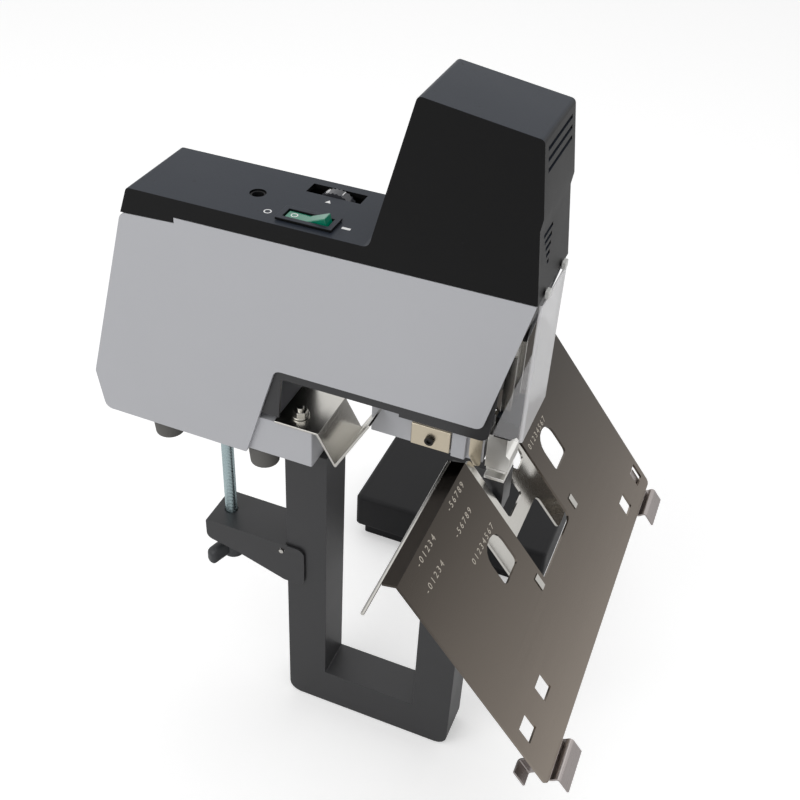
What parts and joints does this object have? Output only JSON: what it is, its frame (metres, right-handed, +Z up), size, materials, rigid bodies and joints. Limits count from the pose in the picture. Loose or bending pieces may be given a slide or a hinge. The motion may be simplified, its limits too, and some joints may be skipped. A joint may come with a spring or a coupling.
{
  "type": "electric stapler",
  "caption": "Desk-edge electric stapler for flat and saddle stitching: grey-sided body with solenoid tower, square loop frame, tilting plated table, screw clamp and foot pedal.",
  "frame": {"origin": "middle of the underside of the loop frame's lower bar, on the surface that it stands on", "axes": "+X from the body's tail to the stapling head, +Y away from the near side panel, across the body, +Z up"},
  "size_m": [0.3378, 0.383, 0.4671],
  "materials": {
    "panel_grey": "satin light grey paint",
    "cover_black": "fine-grained black moulding",
    "frame_black": "satin black paint",
    "plated": "bright nickel plate",
    "table_plate": "dark mirror-like nickel plate",
    "zinc": "clear zinc plate",
    "brass_tone": "warm nickel plate",
    "rubber": "matte rubber",
    "rocker_green": "translucent green",
    "wheel_clear": "milky translucent",
    "clear": "clear sheet plastic",
    "white_plastic": "white moulding",
    "dark_plastic": "black moulding",
    "iron": "bare steel",
    "copper": "taped winding",
    "board_green": "circuit board"
  },
  "bodies": {
    "machine": {"anvil_plate": "plated", "anvil_post": "frame_black", "base_tray": "panel_grey", "clamp_rod": "zinc", "control_board": "board_green", "driver_guide": "plated", "driver_housing": "cover_black", "foot_pedal_base": "cover_black", "force_dial_pot": "dark_plastic", "front_cover": "cover_black", "front_plate": "frame_black", "guard_clip_far": "white_plastic", "guard_clip_near": "white_plastic", "head_frame": "frame_black", "loop_frame": "frame_black", "mains_inlet": "dark_plastic", "pedal_hinge_pin": "plated", "pedal_jack": "dark_plastic", "pedal_switch": "dark_plastic", "rear_cover": "frame_black", "return_spring": "plated", "rubber_foot_front_far": "rubber", "rubber_foot_front_near": "rubber", "rubber_foot_rear_far": "rubber", "rubber_foot_rear_near": "rubber", "side_panel_far": "panel_grey", "side_panel_near": "panel_grey", "solenoid_coil": "copper", "solenoid_frame": "iron", "switch_bezel": "dark_plastic", "table_pivot_pin": "plated", "top_cover": "cover_black"},
    "rocker": {"power_rocker": "rocker_green"},
    "force_wheel": {"force_wheel": "wheel_clear"},
    "driver": {"plunger": "plated", "driver_yoke": "iron", "driver_blade": "plated"},
    "magazine": {"magazine_rail": "panel_grey", "magazine_block": "brass_tone", "magazine_screw": "iron", "magazine_cap": "panel_grey", "feed_leaf": "brass_tone", "nose_block": "plated", "press_plate": "plated", "pusher_spring": "plated"},
    "staple_pusher": {"staple_pusher": "plated"},
    "table": {"saddle_table": "table_plate", "table_bracket": "plated", "fold_rod_near": "plated", "fold_rod_far": "plated"},
    "table_stop_near": {"table_stop_near": "plated"},
    "table_stop_far": {"table_stop_far": "plated"},
    "rear_stop": {"rear_stop": "plated", "stop_nut": "zinc"},
    "clamp_arm": {"clamp_arm": "frame_black", "clamp_pin": "plated"},
    "wing_nut": {"wing_nut": "dark_plastic"},
    "guard": {"guard": "clear"},
    "pedal_hood": {"foot_pedal_hood": "cover_black"}
  },
  "joints": [
    {"name": "power_rocker", "type": "hinge", "parent": "machine", "child": "rocker", "pos_m": [-0.0422, -0.016, 0.387], "axis": [0, 1, 0], "range_deg": [0, 12]},
    {"name": "force_setting", "type": "hinge", "parent": "machine", "child": "force_wheel", "pos_m": [-0.0415, 0.0165, 0.3774], "axis": [0, 1, 0], "range_deg": [-150, 150]},
    {"name": "driver_stroke", "type": "slide", "parent": "machine", "child": "driver", "axis": [0, 0, -1], "range_m": [0, 0.0135], "stiffness_N_per_m": 800, "springref_m": -0.01, "deforming": ["return_spring"]},
    {"name": "head_press", "type": "slide", "parent": "machine", "child": "magazine", "axis": [0, 0, -1], "range_m": [0, 0.004]},
    {"name": "pusher_feed", "type": "slide", "parent": "magazine", "child": "staple_pusher", "axis": [-1, 0, 0], "range_m": [0, 0.045], "stiffness_N_per_m": 50, "springref_m": -0.03, "deforming": ["pusher_spring"]},
    {"name": "table_tilt", "type": "hinge", "parent": "machine", "child": "table", "pos_m": [0.066, 0, 0.2317], "axis": [0, 1, 0], "range_deg": [-51, 0]},
    {"name": "table_stop_near_slide", "type": "slide", "parent": "table", "child": "table_stop_near", "axis": [0, 1, 0], "range_m": [-0.003, 0.02]},
    {"name": "table_stop_far_slide", "type": "slide", "parent": "table", "child": "table_stop_far", "axis": [0, 1, 0], "range_m": [-0.02, 0.003]},
    {"name": "rear_stop_slide", "type": "slide", "parent": "machine", "child": "rear_stop", "axis": [1, 0, 0], "range_m": [-0.003, 0.01]},
    {"name": "clamp_slide", "type": "slide", "parent": "machine", "child": "clamp_arm", "axis": [0, 0, 1], "range_m": [-0.012, 0.05]},
    {"name": "wing_nut_turn", "type": "hinge", "parent": "clamp_arm", "child": "wing_nut", "pos_m": [-0.1079, 0, 0.148], "axis": [0, 0, 1], "range_deg": [-3460, 14405]},
    {"name": "guard_lift", "type": "hinge", "parent": "machine", "child": "guard", "pos_m": [0.083, 0, 0.3762], "axis": [0, 1, 0], "range_deg": [-90, 0]},
    {"name": "pedal_press", "type": "hinge", "parent": "machine", "child": "pedal_hood", "pos_m": [0, 0.2268, 0.029], "axis": [1, 0, 0], "range_deg": [0, 5], "stiffness_Nm_per_rad": 2, "springref_deg": -5.73}
  ],
  "couplings": [
    {"joint": "head_press", "follows": "driver_stroke", "ratio": 0.2963},
    {"joint": "wing_nut_turn", "follows": "clamp_slide", "rad_per_m": 5026.6}
  ]
}
